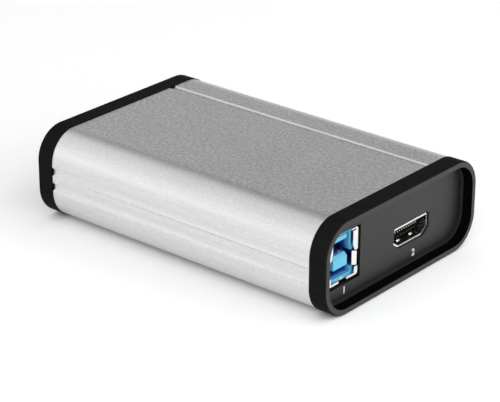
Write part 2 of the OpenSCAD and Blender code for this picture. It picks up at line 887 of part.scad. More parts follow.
// A row of bent leads along the +X side of a body of length l
module lead_row(l, span, pitch, width) {
    count = floor(span / pitch);
    high = chip_h / 2;
    for (i = [0 : count - 1])
        translate([l / 2, (i - (count - 1) / 2) * pitch, 0])
            across_y(width)
                polygon([[-lead_t, high], [lead_bend, high], [lead_bend, 0], [lead_reach, 0],
                    [lead_reach, lead_t], [lead_bend + lead_t, lead_t], [lead_bend + lead_t, high + lead_t],
                    [-lead_t, high + lead_t]]);
}

module four_sided_chip(size) {
    chip_body(size, size, chip_h, chip_lift);
    for (a = [0 : 90 : 270])
        rotate([0, 0, a])
            lead_row(size, size - 2 * lead_margin, lead_pitch, lead_w);
}

module capture_processor() {
    substrate_h = 0.5;
    cap_in = 1;
    color("#26272a")
        on_board(0, 0) {
            chip_body(processor_size, processor_size, substrate_h);
            translate([cap_in - processor_size / 2, cap_in - processor_size / 2, 0])
                cube([processor_size - 2 * cap_in, processor_size - 2 * cap_in, processor_h]);
        }
}

module heat_sink_pad() {
    pad_in = 1.5;
    pad_size = processor_size - 2 * pad_in;
    color("#9aa3b5")
        on_board(-pad_size / 2, -pad_size / 2)
            translate([0, 0, processor_h])
                cube([pad_size, pad_size, pad_t]);
}

// Extruded comb: a base with fins that run along X
module heat_sink() {
    step = (processor_size - sink_fin) / (sink_fins - 1);
    color("#2a2b2d")
        on_board(0, 0)
            translate([0, 0, processor_h + pad_t])
                along_x(-processor_size / 2, processor_size / 2) {
                    translate([-processor_size / 2, 0])
                        square([processor_size, sink_base]);
                    for (i = [0 : sink_fins - 1])
                        translate([i * step - processor_size / 2, 0])
                            square([sink_fin, sink_h]);
                }
}

module video_receiver_chip() {
    color("#202123")
        on_board(receiver_x, 0)
            four_sided_chip(receiver_size);
}

module video_splitter_chip() {
    color("#202123")
        on_board(splitter_x, splitter_y)
            four_sided_chip(splitter_size);
}

module data_controller_chip() {
    color("#202123")
        on_board(controller_x, controller_y)
            chip_body(controller_size, controller_size, chip_h);
}

module memory_chips() {
    color("#202123")
        for (s = [-1, 1])
            on_board(0, s * memory_y)
                chip_body(memory_l, memory_w, chip_h);
}

module program_memory_chip() {
    color("#202123")
        on_board(receiver_x, flash_y)
            rotate([0, 0, 90]) {
                chip_body(flash_w, flash_l, chip_h, chip_lift);
                for (a = [0, 180])
                    rotate([0, 0, a])
                        lead_row(flash_w, flash_l, flash_lead_pitch, flash_lead_w);
            }
}

// Metal can with rounded corners on a flat base
module crystal() {
    base_h = 0.3;
    can_in = 0.4;
    linear_extrude(base_h)
        square([crystal_l, crystal_w], center = true);
    linear_extrude(crystal_h)
        round_rect(crystal_l - 2 * can_in, crystal_w - 2 * can_in, 2 * can_in);
}

module crystals() {
    color("#c9ccd0") {
        on_board(receiver_x, crystal_y)
            crystal();
        on_board(controller_x, controller_y - controller_size / 2 - chip_gap / 2 - crystal_w / 2)
            crystal();
    }
}

// Pressed powder block with rounded corners over two terminals
module power_inductors() {
    terminal_w = inductor_size / 2;
    terminal_t = 0.2;
    color("#5b5c60")
        for (i = [0 : inductors - 1])
            on_board(i * inductor_pitch - inductor_x, inductor_y) {
                linear_extrude(inductor_h)
                    round_rect(inductor_size, inductor_size, inductor_size / 8);
                translate([-inductor_size / 2 - terminal_t, -terminal_w / 2, 0])
                    cube([inductor_size + 2 * terminal_t, terminal_w, inductor_h / 2]);
            }
}

module regulator_chips() {
    color("#202123")
        for (i = [0 : inductors - 1])
            on_board(i * inductor_pitch - inductor_x, regulator_y)
                chip_body(regulator_size, regulator_size, chip_h);
}

// Aluminium can with a crimp groove, on a square base with two cut corners
module bulk_capacitors() {
    crimp_rise = 0.8;
    crimp_r = 0.3;
    edge = can_base / 2;
    snip = can_base / 5;
    color("#b9bcc0")
        for (i = [0 : cans - 1])
            on_board(can_x - i * can_pitch, can_y) {
                linear_extrude(can_base_h)
                    polygon([[-edge, -edge], [edge - snip, -edge], [edge, snip - edge], [edge, edge - snip],
                        [edge - snip, edge], [-edge, edge]]);
                rotate_extrude()
                    difference() {
                        square([can_d / 2, can_h]);
                        translate([can_d / 2, can_base_h + crimp_rise])
                            circle(crimp_r);
                    }
            }
}

// Small two-ended part lying along X, with plated ends
module small_part(h) {
    translate([-small_l / 2, small_skin - small_w / 2, 0])
        cube([small_l, small_w - 2 * small_skin, h - small_skin]);
    for (s = [-1, 1])
        translate([s * (small_l - small_end) / 2 - small_end / 2, -small_w / 2, 0])
            cube([small_end, small_w, h]);
}

module chip_capacitors() {
    color("#b58f66")
        on_board(0, 0)
            for (a = [0 : 90 : 270], i = [0 : ring_count - 1])
                rotate([0, 0, a])
                    translate([ring_r, (i - (ring_count - 1) / 2) * ring_pitch, 0])
                        small_part(small_w);
}

// Rows behind the contacts of the two video sockets
module chip_resistors() {
    color("#1d1d20")
        for (i = [0 : row_count - 1]) {
            across = (i - (row_count - 1) / 2) * row_pitch;
            on_board(row_x, video_out_y + across)
                small_part(small_w / 2);
            on_board(-row_x, video_in_y + across)
                small_part(small_w / 2);
        }
}

// Lamp on the board, with a dome that faces the light pipe
module status_lamp() {
    color("#e8eef2")
        translate([-lamp_x, lamp_y, board_z]) {
            translate([0, -lamp_w / 2, 0])
                cube([lamp_l, lamp_w, lamp_z + lamp_dome_r]);
            translate([0, 0, lamp_z])
                sphere(lamp_dome_r);
        }
}

// Clear rod pushed through the plate from behind up to its collar
module light_pipe() {
    color("#dfe9ee")
        at_input(lamp_y)
            translate([-plate_t - pipe_l, 0, lamp_z])
                rotate([0, 90, 0]) {
                    cylinder(d = pipe_d, h = plate_t + pipe_l);
                    translate([0, 0, pipe_l - pipe_collar_l])
                        cylinder(d = pipe_d + 2 * pipe_collar, h = pipe_collar_l);
                }
}

housing_tube();
output_end_frame();
output_end_plate();
input_end_frame();
input_end_plate();
circuit_board();
data_socket_shell();
data_socket_insulator();
data_socket_contacts();
video_out_shell();
video_out_insulator();
video_out_contacts();
video_in_shell();
video_in_insulator();
video_in_contacts();
capture_processor();
heat_sink_pad();
heat_sink();
video_receiver_chip();
video_splitter_chip();
data_controller_chip();
memory_chips();
program_memory_chip();
crystals();
power_inductors();
regulator_chips();
bulk_capacitors();
chip_capacitors();
chip_resistors();
status_lamp();
light_pipe();
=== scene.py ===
import math

import bmesh
import bpy
from mathutils import Matrix, Vector


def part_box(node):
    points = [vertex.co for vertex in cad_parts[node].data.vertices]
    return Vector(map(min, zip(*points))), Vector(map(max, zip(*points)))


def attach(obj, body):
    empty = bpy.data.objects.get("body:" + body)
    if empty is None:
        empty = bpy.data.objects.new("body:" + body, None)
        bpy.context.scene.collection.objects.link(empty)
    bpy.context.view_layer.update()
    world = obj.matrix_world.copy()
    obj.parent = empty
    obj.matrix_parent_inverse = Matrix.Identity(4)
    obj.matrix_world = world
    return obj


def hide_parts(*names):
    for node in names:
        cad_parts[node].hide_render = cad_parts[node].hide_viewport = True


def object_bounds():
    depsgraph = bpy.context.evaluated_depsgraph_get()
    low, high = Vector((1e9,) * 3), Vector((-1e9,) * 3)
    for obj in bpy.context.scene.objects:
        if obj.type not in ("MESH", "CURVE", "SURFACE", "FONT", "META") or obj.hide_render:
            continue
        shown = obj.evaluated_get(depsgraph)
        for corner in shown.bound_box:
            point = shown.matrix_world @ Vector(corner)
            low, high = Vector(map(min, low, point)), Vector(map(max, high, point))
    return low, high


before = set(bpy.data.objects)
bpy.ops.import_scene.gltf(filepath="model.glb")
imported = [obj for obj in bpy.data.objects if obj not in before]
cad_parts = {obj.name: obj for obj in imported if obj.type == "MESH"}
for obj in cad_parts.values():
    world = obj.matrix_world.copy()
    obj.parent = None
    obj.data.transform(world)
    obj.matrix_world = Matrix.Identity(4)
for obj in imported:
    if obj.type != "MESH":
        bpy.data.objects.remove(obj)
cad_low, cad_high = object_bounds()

scene = bpy.context.scene
MM = 0.001

# Camera: a long lens that looks down on the corner between the near side and the output end.
# Its place and directions fit the box's edges, with the picture taken to be 500 wide and 402 high.
picture_w = 500
focal_px = 1999.4
camera_place = Vector((0.317526, -0.380559, 0.230624))
camera_right = Vector((0.765377, 0.643573, 0.003346)).normalized()
camera_up = Vector((-0.265532, 0.311044, 0.912548)).normalized()


def added(name, data):
    """New object in the scene that shows the given data."""
    thing = bpy.data.objects.new(name, data)
    scene.collection.objects.link(thing)
    return thing


lens = bpy.data.cameras.new("camera")
lens.sensor_width = 36
lens.lens = focal_px / picture_w * lens.sensor_width
lens.clip_start = 0.01
camera = added("camera", lens)
camera_axes = Matrix((camera_right, camera_up, camera_right.cross(camera_up))).transposed()
camera.matrix_world = Matrix.Translation(camera_place) @ camera_axes.to_4x4()
scene.camera = camera
scene.view_settings.view_transform = "Standard"

# Studio: a white table top in a room that is light near the horizon and dim overhead. One soft light stands
# beyond the output end and another in front. White panels, right and left, show only in reflections.
# Where it is seen, the table glows up to white away from the box, and occlusion darkens its colour and glow
# near the box, a painted contact shadow added to the real one.
middle = (cad_low + cad_high) / 2


def soft_light(name, place, width, power, unseen):
    """Square area light that faces the box, left out of one kind of rays."""
    lamp = bpy.data.lights.new(name, "AREA")
    lamp.size = width
    lamp.energy = power
    light = added(name, lamp)
    light.location = place
    light.rotation_euler = (middle - light.location).to_track_quat("-Z", "Y").to_euler()
    setattr(light, "visible_" + unseen, False)


def worked_out(tree, how, *terms):
    """Result of a Math node in the tree, whose terms are sockets or plain numbers."""
    node = tree.nodes.new("ShaderNodeMath")
    node.operation = how
    for place, term in enumerate(terms):
        if isinstance(term, bpy.types.NodeSocket):
            tree.links.new(term, node.inputs[place])
        else:
            node.inputs[place].default_value = term
    return node.outputs["Value"]


soft_light("right_light", (1.0, 0.2, 0.52), 1.5, 10.4, unseen="glossy")
soft_light("front_light", (0.5, -0.85, 0.55), 0.8, 4.4, unseen="glossy")
soft_light("right_panel", (0.95, 0.19, 0.5), 1.5, 6.5, unseen="diffuse")
soft_light("left_panel", (-0.7, -0.5, 0.84), 1.9, 9, unseen="diffuse")

room = bpy.data.worlds.new("studio_room")
room.use_nodes = True
room_nodes, room_links = room.node_tree.nodes, room.node_tree.links
direction = room_nodes.new("ShaderNodeTexCoord")
height_above = room_nodes.new("ShaderNodeSeparateXYZ")
room_tone = room_nodes.new("ShaderNodeValToRGB")
horizon, overhead = room_tone.color_ramp.elements
horizon.position, horizon.color = 0.02, (0.95, 0.95, 0.95, 1)
overhead.position, overhead.color = 0.75, (0.13, 0.13, 0.13, 1)
room_tone.color_ramp.elements.new(0.42).color = (0.46, 0.46, 0.46, 1)
room_links.new(direction.outputs["Generated"], height_above.inputs["Vector"])
room_links.new(height_above.outputs["Z"], room_tone.inputs["Fac"])
room_links.new(room_tone.outputs["Color"], room_nodes["Background"].inputs["Color"])
scene.world = room

table_reach = 1.1
table_gap = 0.05 * MM
table_mesh = bpy.data.meshes.new("table_top")
table_mesh.from_pydata([(x * table_reach, y * table_reach, -table_gap)
                        for x, y in ((-1, -1), (1, -1), (1, 1), (-1, 1))], [], [(0, 1, 2, 3)])
table_top = added("table_top", table_mesh)
table_paint = bpy.data.materials.new("table_paint")
table_paint.use_nodes = True
table_nodes, table_links = table_paint.node_tree.nodes, table_paint.node_tree.links
table_nodes.remove(table_nodes["Principled BSDF"])
paint, seen_paint = table_nodes.new("ShaderNodeBsdfDiffuse"), table_nodes.new("ShaderNodeBsdfDiffuse")
paint.inputs["Color"].default_value = (0.9, 0.9, 0.9, 1)
glow, seen = table_nodes.new("ShaderNodeEmission"), table_nodes.new("ShaderNodeAddShader")
# Occlusion near the box lowers the seen colour and the glow: a painted contact shadow.
openness, painted_shadow_level, glow_painted_shadow = (table_nodes.new("ShaderNode" + kind) for kind in
                                     ("AmbientOcclusion", "MapRange", "ValToRGB"))
openness.inputs["Distance"].default_value = 25 * MM
painted_shadow_level.inputs["From Min"].default_value, painted_shadow_level.inputs["From Max"].default_value = 0.1, 0.3
painted_shadow_level.inputs["To Min"].default_value, painted_shadow_level.inputs["To Max"].default_value = 0.78, 0.98
covered, open_air = glow_painted_shadow.color_ramp.elements
covered.position, covered.color = 0.16, (0, 0, 0, 1)
open_air.color = (0.43, 0.43, 0.43, 1)
glow_painted_shadow.color_ramp.elements.new(0.6).color = (0.32, 0.32, 0.32, 1)
table_links.new(openness.outputs["AO"], painted_shadow_level.inputs["Value"])
table_links.new(painted_shadow_level.outputs["Result"], seen_paint.inputs["Color"])
table_links.new(openness.outputs["AO"], glow_painted_shadow.inputs["Fac"])
table_links.new(glow_painted_shadow.outputs["Color"], glow.inputs["Strength"])
ray, table_mix = table_nodes.new("ShaderNodeLightPath"), table_nodes.new("ShaderNodeMixShader")
mirrored = worked_out(table_paint.node_tree, "MAXIMUM", ray.outputs["Is Glossy Ray"],
                      ray.outputs["Is Transmission Ray"])
directly = worked_out(table_paint.node_tree, "MAXIMUM", ray.outputs["Is Camera Ray"], mirrored)
table_links.new(directly, table_mix.inputs["Fac"])
table_links.new(paint.outputs[0], table_mix.inputs[1])
table_links.new(seen_paint.outputs[0], seen.inputs[0])
table_links.new(glow.outputs[0], seen.inputs[1])
table_links.new(seen.outputs[0], table_mix.inputs[2])
table_links.new(table_mix.outputs[0], table_nodes["Material Output"].inputs["Surface"])
table_mesh.materials.append(table_paint)

# Circuit board: glass-fibre laminate under green solder resist, with copper tracks showing through.
# It slides into two slots of the tube and is held lengthwise between the end frames.


def surface_grain():
    """Shader group: fine grain and broad patches of a given size, stretched along the axes."""
    group = bpy.data.node_groups.new("surface_grain", "ShaderNodeTree")
    for name, kind in (("Size", "NodeSocketFloat"), ("Stretch", "NodeSocketVector")):
        group.interface.new_socket(name, in_out="INPUT", socket_type=kind)
    for name in ("Grain", "Patch"):
        group.interface.new_socket(name, in_out="OUTPUT", socket_type="NodeSocketFloat")
    nodes, links = group.nodes, group.links
    given, result = nodes.new("NodeGroupInput"), nodes.new("NodeGroupOutput")
    coords = nodes.new("ShaderNodeTexCoord")
    stretch = nodes.new("ShaderNodeVectorMath")
    stretch.operation = "DIVIDE"
    links.new(coords.outputs["Object"], stretch.inputs[0])
    links.new(given.outputs["Stretch"], stretch.inputs[1])
    for name, coarser in (("Grain", 1), ("Patch", 20)):
        noise = nodes.new("ShaderNodeTexNoise")
        noise.inputs["Detail"].default_value = 3
        links.new(stretch.outputs["Vector"], noise.inputs["Vector"])
        links.new(worked_out(group, "DIVIDE", 1 / coarser, given.outputs["Size"]), noise.inputs["Scale"])
        spread = nodes.new("ShaderNodeMapRange")
        spread.inputs["From Min"].default_value = 0.3
        spread.inputs["From Max"].default_value = 0.7
        links.new(noise.outputs["Fac"], spread.inputs["Value"])
        links.new(spread.outputs["Result"], result.inputs[name])
    return group


def outside_box():
    """Shader group: 1 outside a box with the given middle and half sizes, 0 inside."""
    group = bpy.data.node_groups.new("outside_box", "ShaderNodeTree")
    for name in ("Middle", "Half"):
        group.interface.new_socket(name, in_out="INPUT", socket_type="NodeSocketVector")
    group.interface.new_socket("Outside", in_out="OUTPUT", socket_type="NodeSocketFloat")
    nodes, links = group.nodes, group.links
    given, result = nodes.new("NodeGroupInput"), nodes.new("NodeGroupOutput")
    coords = nodes.new("ShaderNodeTexCoord")
    away, size, beyond = (nodes.new("ShaderNodeVectorMath") for _ in range(3))
    away.operation, size.operation, beyond.operation = "SUBTRACT", "ABSOLUTE", "SUBTRACT"
    links.new(coords.outputs["Object"], away.inputs[0])
    links.new(given.outputs["Middle"], away.inputs[1])
    links.new(away.outputs["Vector"], size.inputs[0])
    links.new(size.outputs["Vector"], beyond.inputs[0])
    links.new(given.outputs["Half"], beyond.inputs[1])
    parts = nodes.new("ShaderNodeSeparateXYZ")
    links.new(beyond.outputs["Vector"], parts.inputs["Vector"])
    larger = worked_out(group, "MAXIMUM", parts.outputs["X"], parts.outputs["Y"])
    largest = worked_out(group, "MAXIMUM", larger, parts.outputs["Z"])
    links.new(worked_out(group, "GREATER_THAN", largest, 0), result.inputs["Outside"])
    return group


grain_group = surface_grain()
box_group = outside_box()


def finish(name, colours, roughness, grain, bump=0.0, stretch=(1, 1, 1), patchy=0.5, plated=None,
           **constants):
    """Material whose colour and roughness run between two values with a grain of the given size.
    patchy is the share of the broad patches in it, and bump the height of the grain. plated gives the middle
    and half sizes of the body, beyond which the surface is bright metal."""
    made = bpy.data.materials.new(name)
    made.use_nodes = True
    nodes, links = made.node_tree.nodes, made.node_tree.links
    shader = nodes["Principled BSDF"]
    for socket, value in constants.items():
        shader.inputs[socket.replace("_", " ")].default_value = value
    pattern = nodes.new("ShaderNodeGroup")
    pattern.node_tree = grain_group
    pattern.inputs["Size"].default_value = grain
    pattern.inputs["Stretch"].default_value = stretch
    blend = nodes.new("ShaderNodeMix")
    blend.inputs[0].default_value = patchy
    links.new(pattern.outputs["Grain"], blend.inputs[2])
    links.new(pattern.outputs["Patch"], blend.inputs[3])
    tone = nodes.new("ShaderNodeMix")
    tone.data_type = "RGBA"
    links.new(blend.outputs[0], tone.inputs[0])
    tone.inputs[6].default_value = (*colours[0], 1)
    tone.inputs[7].default_value = (*colours[1], 1)
    rough = nodes.new("ShaderNodeMapRange")
    rough.inputs["To Min"].default_value, rough.inputs["To Max"].default_value = roughness
    links.new(blend.outputs[0], rough.inputs["Value"])
    colour_out, rough_out = tone.outputs[2], rough.outputs["Result"]
    if plated:
        bright_metal, metal_roughness = (0.72, 0.71, 0.69, 1), 0.32
        mask = nodes.new("ShaderNodeGroup")
        mask.node_tree = box_group
        mask.inputs["Middle"].default_value = plated[0]
        mask.inputs["Half"].default_value = plated[1]
        metal = nodes.new("ShaderNodeMix")
        metal.data_type = "RGBA"
        links.new(mask.outputs["Outside"], metal.inputs[0])
        links.new(colour_out, metal.inputs[6])
        metal.inputs[7].default_value = bright_metal
        smooth = nodes.new("ShaderNodeMix")
        links.new(mask.outputs["Outside"], smooth.inputs[0])
        links.new(rough_out, smooth.inputs[2])
        smooth.inputs[3].default_value = metal_roughness
        links.new(mask.outputs["Outside"], shader.inputs["Metallic"])
        colour_out, rough_out = metal.outputs[2], smooth.outputs[0]
    links.new(colour_out, shader.inputs["Base Color"])
    links.new(rough_out, shader.inputs["Roughness"])
    if bump:
        relief = nodes.new("ShaderNodeBump")
        relief.inputs["Distance"].default_value = bump
        links.new(pattern.outputs["Grain"], relief.inputs["Height"])
        links.new(relief.outputs["Normal"], shader.inputs["Normal"])
    return made


def coat(node, material):
    """Gives its finish to a CAD node that is kept as it is."""
    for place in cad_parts[node].material_slots:
        place.material = material


resist = finish("solder_resist", ((0.006, 0.045, 0.02), (0.009, 0.06, 0.027)), (0.3, 0.42), 0.4 * MM,
                Coat_Weight=0.4, Coat_Roughness=0.12)
resist_nodes, resist_links = resist.node_tree.nodes, resist.node_tree.links
resist_coords = resist_nodes.new("ShaderNodeTexCoord")
tracks = resist_nodes.new("ShaderNodeTexBrick")
tracks.offset, tracks.squash, tracks.squash_frequency = 0.37, 1.7, 3
tracks.inputs["Scale"].default_value = 160
tracks.inputs["Mortar Size"].default_value = 0.035
for socket, level in (("Color1", 0), ("Color2", 0), ("Mortar", 1)):
    tracks.inputs[socket].default_value = (level, level, level, 1)
resist_links.new(resist_coords.outputs["Object"], tracks.inputs["Vector"])
resist_shader = resist_nodes["Principled BSDF"]
over_copper = resist_nodes.new("ShaderNodeMix")
over_copper.data_type = "RGBA"
resist_links.new(tracks.outputs["Color"], over_copper.inputs[0])
resist_links.new(resist_shader.inputs["Base Color"].links[0].from_socket, over_copper.inputs[6])
over_copper.inputs[7].default_value = (0.02, 0.1, 0.05, 1)
resist_links.new(over_copper.outputs[2], resist_shader.inputs["Base Color"])
track_relief = resist_nodes.new("ShaderNodeBump")
track_relief.inputs["Distance"].default_value = 0.03 * MM
resist_links.new(tracks.outputs["Color"], track_relief.inputs["Height"])
resist_links.new(track_relief.outputs["Normal"], resist_shader.inputs["Normal"])
coat("circuit_board", resist)

# Chips: moulded black epoxy packages soldered flat to the board, three of them with bent tinned leads.
# The capture processor has a raised cap, on which the heat sink is stuck with a grey pad.


def package(node, body_half=None):
    """Epoxy finish for one chip. Where body_half is given, what reaches beyond it is a tinned lead."""
    low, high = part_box(node)
    centre = (low + high) / 2
    plated = None
    if body_half:
        plated = (centre, (body_half[0], body_half[1], high.z - low.z))
    coat(node, finish(node + "_epoxy", ((0.014, 0.014, 0.015), (0.026, 0.026, 0.028)), (0.5, 0.68), 0.12 * MM,
                      bump=0.01 * MM, plated=plated))


lead_reach = 1 * MM
for quad in ("video_receiver_chip", "video_splitter_chip"):
    quad_low, quad_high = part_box(quad)
    quad_half = (quad_high.x - quad_low.x) / 2 - lead_reach
    package(quad, (quad_half, quad_half))
memory_low, memory_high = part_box("program_memory_chip")
memory_half = (memory_high - memory_low) / 2
package("program_memory_chip", (memory_half.x, memory_half.y - lead_reach))
for flat in ("capture_processor", "data_controller_chip", "memory_chips", "regulator_chips"):
    package(flat)
coat("heat_sink_pad", finish("silicone_pad", ((0.3, 0.33, 0.4), (0.37, 0.4, 0.47)), (0.7, 0.85), 0.3 * MM,
                             bump=0.02 * MM))
coat("heat_sink", finish("black_anodising", ((0.016, 0.016, 0.018), (0.03, 0.03, 0.033)), (0.38, 0.5),
                         0.15 * MM, bump=0.006 * MM, stretch=(12, 1, 1), Metallic=0.7))

# Power parts and crystals: inductors of pressed iron powder and capacitors in aluminium cans on moulded
# bases stand in rows along one edge of the board. Crystals in steel cans stand near the chips they clock.
coat("power_inductors", finish("pressed_powder", ((0.07, 0.07, 0.075), (0.13, 0.13, 0.14)), (0.6, 0.8),
                               0.25 * MM, bump=0.03 * MM))
can_low, can_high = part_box("bulk_capacitors")
can_base_h = 0.8 * MM
can_row = can_high - can_low
can_foot = Vector(((can_low.x + can_high.x) / 2, (can_low.y + can_high.y) / 2, can_low.z))
coat("bulk_capacitors", finish("can_on_base", ((0.02, 0.02, 0.021), (0.035, 0.035, 0.037)), (0.45, 0.6),
                               0.2 * MM, plated=(can_foot, (can_row.x, can_row.y, can_base_h))))
coat("crystals", finish("crystal_can", ((0.55, 0.56, 0.57), (0.7, 0.71, 0.72)), (0.25, 0.4), 0.2 * MM,
                        Metallic=1.0))

# Chip capacitors and resistors: fired ceramic blocks with tinned ends, placed in a ring round the
# processor and in a row behind each video socket. Each is repeated over a set of points.


def two_ended_parts():
    """Geometry Nodes tree: a two-ended chip part at every point of the mesh, all turned alike."""
    tree = bpy.data.node_groups.new("two_ended_parts", "GeometryNodeTree")
    face = tree.interface
    face.new_socket("Geometry", in_out="INPUT", socket_type="NodeSocketGeometry")
    for name in ("Length", "Width", "Height", "End", "Skin", "Turn"):
        face.new_socket(name, in_out="INPUT", socket_type="NodeSocketFloat")
    for name in ("Body", "Ends"):
        face.new_socket(name, in_out="INPUT", socket_type="NodeSocketMaterial")
    face.new_socket("Geometry", in_out="OUTPUT", socket_type="NodeSocketGeometry")
    nodes, links = tree.nodes, tree.links
    given, result = nodes.new("NodeGroupInput"), nodes.new("NodeGroupOutput")

    def block(length, width, height, x=None):
        """Box of the given sockets' sizes standing on z = 0, moved along X."""
        size, move, cube = (nodes.new(kind) for kind in
                            ("ShaderNodeCombineXYZ", "ShaderNodeCombineXYZ", "GeometryNodeMeshCube"))
        for socket, value in zip(("X", "Y", "Z"), (length, width, height)):
            links.new(value, size.inputs[socket])
        links.new(size.outputs[0], cube.inputs["Size"])
        if x:
            links.new(x, move.inputs["X"])
        links.new(worked_out(tree, "MULTIPLY", height, 0.5), move.inputs["Z"])
        placed = nodes.new("GeometryNodeTransform")
        links.new(cube.outputs["Mesh"], placed.inputs["Geometry"])
        links.new(move.outputs[0], placed.inputs["Translation"])
        return placed.outputs["Geometry"]

    def at_points(shape, material):
        """The shape at every point, as real mesh of one material."""
        copies, real, painted = (nodes.new("GeometryNode" + kind) for kind in
                                 ("InstanceOnPoints", "RealizeInstances", "SetMaterial"))
        links.new(given.outputs["Geometry"], copies.inputs["Points"])
        links.new(shape, copies.inputs["Instance"])
        links.new(turn.outputs[0], copies.inputs["Rotation"])
        links.new(copies.outputs["Instances"], real.inputs["Geometry"])
        links.new(real.outputs["Geometry"], painted.inputs["Geometry"])
        links.new(material, painted.inputs["Material"])
        return painted.outputs["Geometry"]

    length, width, height = (given.outputs[n] for n in ("Length", "Width", "Height"))
    end, skin = given.outputs["End"], given.outputs["Skin"]
    core_l = worked_out(tree, "SUBTRACT", length, end)
    core_w = worked_out(tree, "SUBTRACT", width, worked_out(tree, "MULTIPLY", skin, 2))
    core_h = worked_out(tree, "SUBTRACT", height, skin)
    turn = nodes.new("ShaderNodeCombineXYZ")
    both_ends, whole = (nodes.new("GeometryNodeJoinGeometry") for _ in range(2))
    links.new(given.outputs["Turn"], turn.inputs["Z"])
    for share in (0.5, -0.5):
        end_x = worked_out(tree, "MULTIPLY", core_l, share)
        links.new(block(end, width, height, end_x), both_ends.inputs[0])
    links.new(at_points(block(core_l, core_w, core_h), given.outputs["Body"]), whole.inputs[0])
    links.new(at_points(both_ends.outputs[0], given.outputs["Ends"]), whole.inputs[0])
    links.new(whole.outputs[0], result.inputs["Geometry"])
    return tree


def mesh_of(draft):
    """Plain mesh of a draft object with its modifiers applied. The draft itself is removed."""
    state = bpy.context.evaluated_depsgraph_get()
    shape = bpy.data.meshes.new_from_object(draft.evaluated_get(state))
    bpy.data.objects.remove(draft)
    return shape


def grown(name, points, edges, tree, **inputs):
    """Plain mesh that a Geometry Nodes tree makes from the given points and edges."""
    seed = bpy.data.meshes.new(name)
    seed.from_pydata(points, edges, [])
    draft = added(name, seed)
    growth = draft.modifiers.new(name, "NODES")
    growth.node_group = tree
    for socket in tree.interface.items_tree:
        if socket.in_out == "INPUT" and socket.name in inputs:
            growth[socket.identifier] = inputs[socket.name]
    return mesh_of(draft)


def joined(name, shapes):
    """One object from several meshes, which keeps the material of each face."""
    materials = []
    bm = bmesh.new()
    for shape in shapes:
        first = len(bm.faces)
        own = [m for m in shape.materials if m]
        bm.from_mesh(shape)
        bm.faces.ensure_lookup_table()
        materials += [m for m in own if m not in materials]
        for face in bm.faces[first:]:
            face.material_index = materials.index(own[min(face.material_index, len(own) - 1)])
    whole = bpy.data.meshes.new(name)
    bm.to_mesh(whole)
    bm.free()
    for m in materials:
        whole.materials.append(m)
    return added(name, whole)


def stands_for(piece, node):
    """The piece takes the place of a CAD node on the one body that the box has."""
    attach(piece, "root")
    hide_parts(node)


small_parts = two_ended_parts()
tin = finish("tinned_ends", ((0.62, 0.61, 0.59), (0.74, 0.73, 0.71)), (0.28, 0.4), 0.1 * MM, Metallic=1.0)
tan_ceramic = finish("tan_ceramic", ((0.36, 0.24, 0.13), (0.5, 0.35, 0.21)), (0.4, 0.55), 0.15 * MM,
                     bump=0.004 * MM)
resistor_glass = finish("resistor_glass", ((0.012, 0.012, 0.014), (0.024, 0.024, 0.027)), (0.22, 0.35),
                        0.15 * MM)
part_l, part_w, part_end, part_skin = 1.6 * MM, 0.8 * MM, 0.3 * MM, 0.04 * MM
ring_low, ring_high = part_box("chip_capacitors")
ring_r = ring_high.x - part_l / 2
ring_count = 6
ring_pitch = (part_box("capture_processor")[1].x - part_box("capture_processor")[0].x) / ring_count
ring_steps = [(i - (ring_count - 1) / 2) * ring_pitch for i in range(ring_count)]
ring_shapes = []
for turn, places in ((0, [(s * ring_r, y, ring_low.z) for s in (-1, 1) for y in ring_steps]),
                     (math.pi / 2, [(x, s * ring_r, ring_low.z) for s in (-1, 1) for x in ring_steps])):
    ring_shapes.append(grown("capacitor_ring", places, [], small_parts, Length=part_l, Width=part_w,
                             Height=ring_high.z - ring_low.z, End=part_end, Skin=part_skin, Turn=turn,
                             Body=tan_ceramic, Ends=tin))
stands_for(joined("capacitor_ring", ring_shapes), "chip_capacitors")

row_low, row_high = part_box("chip_resistors")
row_count = 8
row_pitch = 2 * part_w
video_y = {"out": sum(corner.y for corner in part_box("video_out_shell")) / 2,
           "in": sum(corner.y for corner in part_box("video_in_shell")) / 2}
row_places = []
for x, y in ((row_high.x - part_l / 2, video_y["out"]), (row_low.x + part_l / 2, video_y["in"])):
    row_places += [(x, y + (i - (row_count - 1) / 2) * row_pitch, row_low.z) for i in range(row_count)]
row_shape = grown("resistor_rows", row_places, [], small_parts, Length=part_l, Width=part_w,
                  Height=row_high.z - row_low.z, End=part_end, Skin=part_skin, Turn=0.0,
                  Body=resistor_glass, Ends=tin)
stands_for(joined("resistor_rows", [row_shape]), "chip_resistors")

# Socket contacts: strips of gold-plated bronze, bent down behind the insulators. The data contacts end
# in pins through the board, the video contacts in feet soldered on it. One bent strip is repeated per row.


